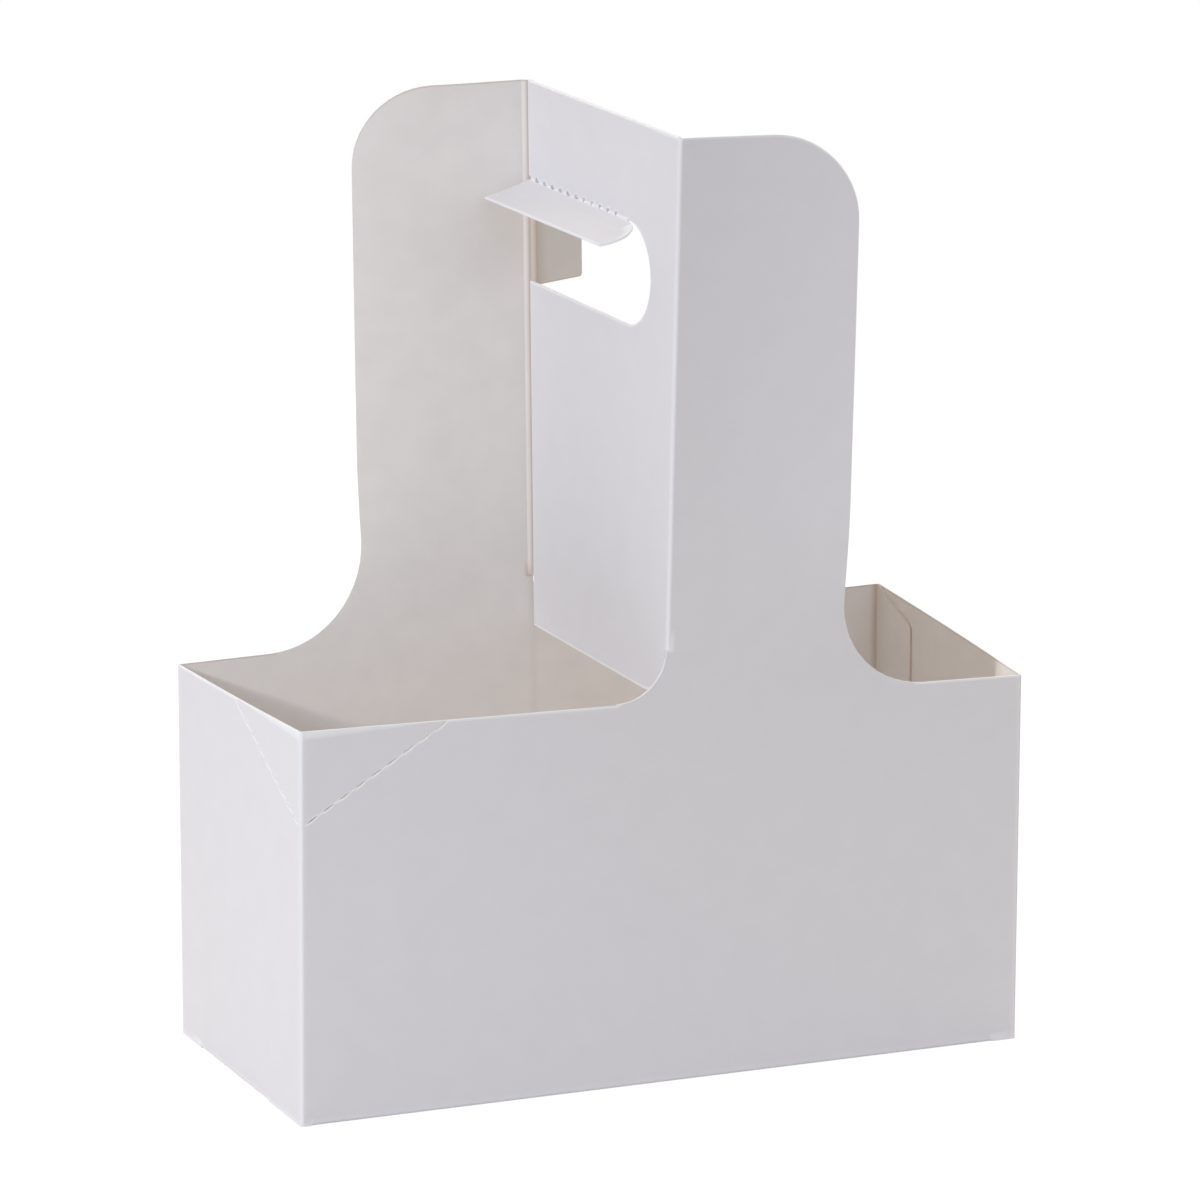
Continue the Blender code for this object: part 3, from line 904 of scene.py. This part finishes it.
def gripFlap():
    # travel runs down from the dotted line; the nose's cut edge is the hole's arc less a gap
    turn, reach, centreY, dotEnd = grip["angle"], grip["reach"], hole["centreY"], grip["dotEnd"]
    stopY = backY - board["thick"] - handle["frontShort"]
    shift = grip["radius"] * turn - reach                    # travel less depth below the hinge
    bottom = hole["top"] - holeMiddle + shift
    radius = hole["radius"] - hole["gap"]

    def noseTop(y):
        return hole["top"] - holeMiddle - halfHole(y, radius) + shift

    shoulder = centreY - math.sqrt(radius**2 - (bottom - dotEnd) ** 2)
    nose = aroundArc(centreY, radius, 92, 180, 16)
    neck = spread(shoulder, centreY, grip["neckStep"])
    straight = joined(dotColumns(centreY, stopY), spread(centreY, stopY, nearEnd=cutBand))
    whole = joined(nose[nose < shoulder - board["apart"]], neck, straight)
    neckTop = noseTop(centreY)
    neckRows = np.linspace(neckTop, dotEnd, 3)
    foldRows = np.concatenate([np.linspace(0, neckTop, 6), neckRows[1:]])
    lowRows = spread(dotEnd, bottom, grip["step"], 0, cutBand)
    cuts = np.maximum(dotDepth(straight, -grip["dotRise"]), 0)
    grids = [
        between(whole, np.where(whole < shoulder, noseTop(whole), dotEnd), bottom, lowRows),
        between(neck, np.minimum(noseTop(neck), dotEnd), dotEnd, neckRows),
        between(straight, cuts, dotEnd, foldRows),
    ]
    ahead = (-math.sin(turn), -math.cos(turn))

    def place(along, up):
        side = foldPath(up, (handle["webLeft"], hole["top"]), (0, 1), ahead, grip["radius"])
        share = np.clip(up / bottom, 0, 1)
        lean = grip["lean"] * share * np.clip((centreY - along) / hole["radius"], 0, 1)
        return np.stack([side[..., 0], along + lean, side[..., 1] + grip["curl"] * share**2], -1)

    hinge = hole["top"] + reach
    bend = ("web", "grip_flap", (0, 0, hinge), (0, 0, hole["top"] - reach * math.cos(turn)))
    sheet("gripFlap", grids, place, (-0.4, 0, 0.9), ["grip_flap"], "grip_flap", [(2, hinge)],
          [(0, handle["webLeft"], 2, hole["top"], 0.5 * board["scored"])], bend)


def sideTab():
    turn, reach = tab["angle"], tab["reach"]
    fold = tab["radius"] * turn
    corner = fold + tab["length"] - reach - tab["corner"]
    ahead = (math.sin(turn), -math.cos(turn))
    columns = joined(np.linspace(0, fold, 9), spread(fold, corner, board["fineStep"], 0.4 * mm),
                     aroundArc(corner, tab["corner"], 0, 90, 6))
    soften = tab["corner"] - circleHeight(np.maximum(columns, corner), corner, tab["corner"])
    low = hole["floor"] - tab["drop"] + hole["gap"] + soften
    grid = between(columns, low, hole["top"] - hole["gap"] - soften,
                   spread(0, 1, 0.12, 0.02, 0.02))
    hingeX, hingeY = handle["webRight"], tab["hinge"]
    bend = ("web", "side_tab", (hingeX, hingeY + reach, 0),
            (hingeX + ahead[0] * reach, hingeY + ahead[1] * reach, 0))
    sheet("sideTab", [grid], standing((hingeX, hingeY), (0, 1), ahead, tab["radius"]),
          (-ahead[1], ahead[0], 0), ["side_tab"], "side_tab", [(1, hingeY + reach)],
          [scoredUp(hingeX, hingeY)], bend)


webFrontLayer()
webRearLayer()
gripFlap()
sideTab()
print("handle made")

bottom = {
    "sideClear": 3 * mm, "mitreClear": 6 * mm, "notch": 3 * mm, "notchDepth": 15 * mm,
    "tongue": 12 * mm, "tongueTaper": 5 * mm, "tongueCorner": 3 * mm, "tongueRise": 11.5 * mm,
    "riseStart": 2 * mm, "riseEnd": 14 * mm, "endDepth": 22 * mm, "endTaper": 9 * mm,
    "step": 6 * mm,
    "endClear": 1.5 * mm,      # between an end flap and the long ones' corners
    "meet": 0.15 * mm,         # from the short rows' end to the middle of the box
}


def flapSheet(name, node, body, spot, run, out, grids, lift):
    # spot is where the wall's foot starts; it runs along one way, and the flap out another
    spot, run, out = (np.array(item, float) for item in (spot, run, out))

    def place(along, up):
        side = foldPath(up, (0, 0), (0, 1), (1, 0), baseFold)
        plan = spot + along[..., None] * run + side[..., :1] * out
        return lifted(plan, side[..., 1] + lift(along, side[..., 0]))

    axis = int(np.argmax(np.abs(out)))
    foot = spot * np.abs(out)
    bend = (body, node, (*foot, baseFold), (*(foot + baseFold * out), 0))
    sheet(name, grids, place, (0, 0, -1), [node], node, [(2, baseFold)],
          [scoredFoot(axis, spot[axis])], bend)


def longFlap(*wall):
    depth, length = backY - frontY, rightX - leftX
    shift = quarter(baseFold) - baseFold                     # travel less distance from the wall
    floor = depth / 2 - bottom["notchDepth"]
    middle, tip = depth / 2 - bottom["meet"], depth / 2 + bottom["tongue"]
    tipCorner, radius = tip - bottom["tongueCorner"], bottom["tongueCorner"]
    notchA, notchB = (length - bottom["notch"]) / 2, (length + bottom["notch"]) / 2
    riseStart, riseEnd = bottom["riseStart"], bottom["riseEnd"]
    tongueUp = floor + bottom["tongueRise"]

    def rowsTo(*stops):
        return joined(*(spread(a, b, bottom["step"]) for a, b in zip(stops, stops[1:])))

    def far(out):
        return length - np.maximum(out, board["layer"]) - bottom["mitreClear"]

    def nose(out):
        taper = bottom["tongueTaper"] * np.clip((out - tongueUp) / (tip - tongueUp), 0, 1)
        return taper + radius - circleHeight(np.maximum(out, tipCorner), tipCorner, radius)

    def across(rows, first, last):
        up, along = between(rows, first, last, spread(0, 1, 0.08, 0.006, 0.006))
        return along, up

    near = np.concatenate([foldColumns(baseFold)[:-1],
                           rowsTo(baseFold, riseStart, riseEnd, floor) + shift])
    shortRows = np.append(rowsTo(floor, middle - cutBand), middle) + shift
    tongue = joined(rowsTo(floor, tongueUp, tipCorner) + shift,
                    aroundArc(tipCorner, radius, 0, 90, 8) + shift)
    inset = nose(tongue - shift)
    grids = [
        across(near, bottom["sideClear"], notchA),
        across(near, notchA, notchB),
        across(near, notchB, far(near - shift)),
        across(shortRows, bottom["sideClear"], notchA),
        across(tongue, notchB + inset, far(tongue - shift) - inset),
    ]

    def lift(along, out):
        rise = board["layer"] * np.clip((out - riseStart) / (riseEnd - riseStart), 0, 1)
        more = board["layer"] * np.clip((out - floor) / bottom["tongueRise"], 0, 1)
        return rise + np.where(along > notchB - tiny, more, 0)

    flapSheet(*wall, grids, lift)


def endFlap(*wall):
    shift = quarter(baseFold) - baseFold
    start, stop = flapSpan["end"]
    depth, layer = bottom["endDepth"], board["layer"]
    rows = spread(baseFold, depth, board["fineStep"], 0, cutBand) + shift
    rows = np.concatenate([foldColumns(baseFold)[:-1], rows])
    slope = np.clip((rows - shift - layer) / (depth - layer), 0, 1)
    top = backY - frontY - 2 * (depth + bottom["endClear"])
    up, along = between(rows, start + bottom["endTaper"] * slope, stop + (top - stop) * slope,
                        spread(0, 1, 0.12, 0.02, 0.02))
    flapSheet(*wall, [(along, up)], lambda along, out: 0)


longFlap("bottomFlapFront", "bottom_flap_front", "front", (leftX, frontY), (1, 0), (0, 1))
longFlap("bottomFlapBack", "bottom_flap_back", "back", (rightX, backY), (-1, 0), (0, -1))
endFlap("bottomFlapLeft", "bottom_flap_left", "left_end", (leftX, frontY), (0, 1), (1, 0))
endFlap("bottomFlapRight", "bottom_flap_right", "right_end", (rightX, backY), (0, -1), (-1, 0))
print("bottom made")

studio = {
    # each side of the sky: where its light comes from, and its strength in red, green and blue
    "sky": [
        ((0.0, -0.8, 0.6), (0.67, 0.70, 0.76)),
        ((0.2, 0.75, 0.65), (1.27, 1.18, 1.04)),
        ((0.2, 1.0, 0.35), (0.30, 0.30, 0.30)),
        ((0.9, 0.0, 0.45), (0.20, 0.17, 0.13)),
        ((0.0, 0.0, 1.0), (0.14, 0.12, 0.10)),
    ],
    "skyFocus": 2.0,           # power of the cosine with which a side's light falls off
    # each lamp: its place, width, and strength on the carrier in red, green and blue
    "lamps": {
        "key": ((-2.621, -0.902, 1.249), 0.15, (1.03, 0.97, 0.90)),
        "keyNear": ((-0.611, -0.211, 0.369), 0.04, (0.24, 0.34, 0.50)),
    },
    "floorRadius": 0.8,
    "floorSides": 96,
    "floorColor": (0.76, 0.745, 0.74, 1),
    "floorSeen": 0.25,         # the floor's colour and its glow as the camera sees it
    "floorGlow": 0.86,
}
view = {
    "azimuth": 22.791, "elevation": 13.633, "roll": -0.043,
    "shift": (-1.08 * mm, -113.76 * mm, 2102.03 * mm),
    "focal": 8000 / 1200,      # in widths of the picture
    "sensor": 36, "clipEnd": 50,
}


def directRay(tree):
    # 1 for what the camera sees, itself or in gloss and through glass
    path = addNode(tree, "LightPath").outputs
    seen = maths(tree, "MAXIMUM", path["Is Camera Ray"], path["Is Glossy Ray"])
    return maths(tree, "MAXIMUM", seen, path["Is Transmission Ray"])


def makeFloor():
    # a disc: its rim is radius times cosine and sine of even angles
    sides = studio["floorSides"]
    turn = np.linspace(0, 2 * np.pi, sides + 1)[:-1]
    edge = np.column_stack([np.cos(turn), np.sin(turn), 0 * turn]) * studio["floorRadius"]
    mesh = bpy.data.meshes.new("floor")
    mesh.from_pydata(edge.tolist(), [], [list(range(sides))])
    floor = linked("floor", mesh)
    material = bpy.data.materials.new("floorPaper")
    material.use_nodes = True
    tree = material.node_tree
    matte = {"Roughness": 1, "Specular IOR Level": 0}
    seen = addNode(tree, "BsdfPrincipled", {
        "Base Color": (*[studio["floorSeen"]] * 3, 1), "Emission Color": (1, 1, 1, 1),
        "Emission Strength": studio["floorGlow"]} | matte)
    shader = tree.nodes["Principled BSDF"]
    for label, value in ({"Base Color": studio["floorColor"]} | matte).items():
        shader.inputs[label].default_value = value
    mix = addNode(tree, "MixShader", {
        0: directRay(tree), 1: shader.outputs[0], 2: seen.outputs[0]})
    tree.links.new(mix.outputs[0], tree.nodes["Material Output"].inputs[0])
    mesh.materials.append(material)


def makeLight():
    world = bpy.data.worlds.new("studio")
    bpy.context.scene.world = world
    world.use_nodes = True
    tree = world.node_tree
    tree.nodes.clear()
    # each side's light falls off with a power of the cosine of the angle from its direction
    toward = addNode(tree, "TexCoord").outputs["Generated"]
    total = (0, 0, 0)
    for direction, strength in studio["sky"]:
        cosine = addNode(tree, "VectorMath",
                         {0: toward, 1: Vector(direction).normalized()}, operation="DOT_PRODUCT")
        share = maths(tree, "MAXIMUM", cosine.outputs["Value"], 0.0)
        share = maths(tree, "POWER", share, studio["skyFocus"])
        tint = addNode(tree, "VectorMath", {0: strength, "Scale": share},
                       operation="SCALE")
        total = addNode(tree, "VectorMath", {0: total, 1: tint.outputs[0]},
                        operation="ADD").outputs[0]
    height = addNode(tree, "SeparateXYZ", {0: toward}).outputs["Z"]
    over = maths(tree, "GREATER_THAN", height, 0.0)
    sky = addNode(tree, "Background", {"Color": total, "Strength": over})
    white = addNode(tree, "Background", {"Color": (1, 1, 1, 1)})
    mix = addNode(tree, "MixShader", {
        0: directRay(tree), 1: sky.outputs[0], 2: white.outputs[0]})
    addNode(tree, "OutputWorld", {0: mix.outputs[0]})


def makeLamps():
    # discs that face the middle of the carrier
    middle = Vector((0, 0, rim))
    for name, (spot, size, strength) in studio["lamps"].items():
        way = Vector(spot) - middle
        lamp = bpy.data.lights.new(name, "AREA")
        lamp.shape = "DISK"
        lamp.size = size
        lamp.energy = max(strength) * math.pi * way.length**2
        lamp.color = [part / max(strength) for part in strength]
        holder = linked(name, lamp)
        holder.visible_camera = False
        turned = way.to_track_quat("Z", "Y").to_matrix().to_4x4()
        holder.matrix_world = Matrix.Translation(spot) @ turned


def makeCamera():
    turn, fall, roll = (math.radians(view[key]) for key in ("azimuth", "elevation", "roll"))
    flat = Vector((math.sin(turn), math.cos(turn), 0))
    forward = flat * math.cos(fall) - Vector((0, 0, math.sin(fall)))
    right = Vector((math.cos(turn), -math.sin(turn), 0))
    up = right.cross(forward)
    across = right * math.cos(roll) + up * math.sin(roll)
    upward = up * math.cos(roll) - right * math.sin(roll)
    x, y, z = view["shift"]
    data = bpy.data.cameras.new("camera")
    data.sensor_width = view["sensor"]
    data.lens = view["sensor"] * view["focal"]
    data.clip_end = view["clipEnd"]
    camera = linked("camera", data)
    spot = -(across * x + upward * y + forward * z)
    turned = Matrix((across, upward, -forward)).transposed().to_4x4()
    camera.matrix_world = Matrix.Translation(spot) @ turned
    bpy.context.scene.camera = camera


makeFloor()
makeLight()
makeLamps()
makeCamera()
bpy.context.scene.view_settings.view_transform = "Standard"
print("studio made")
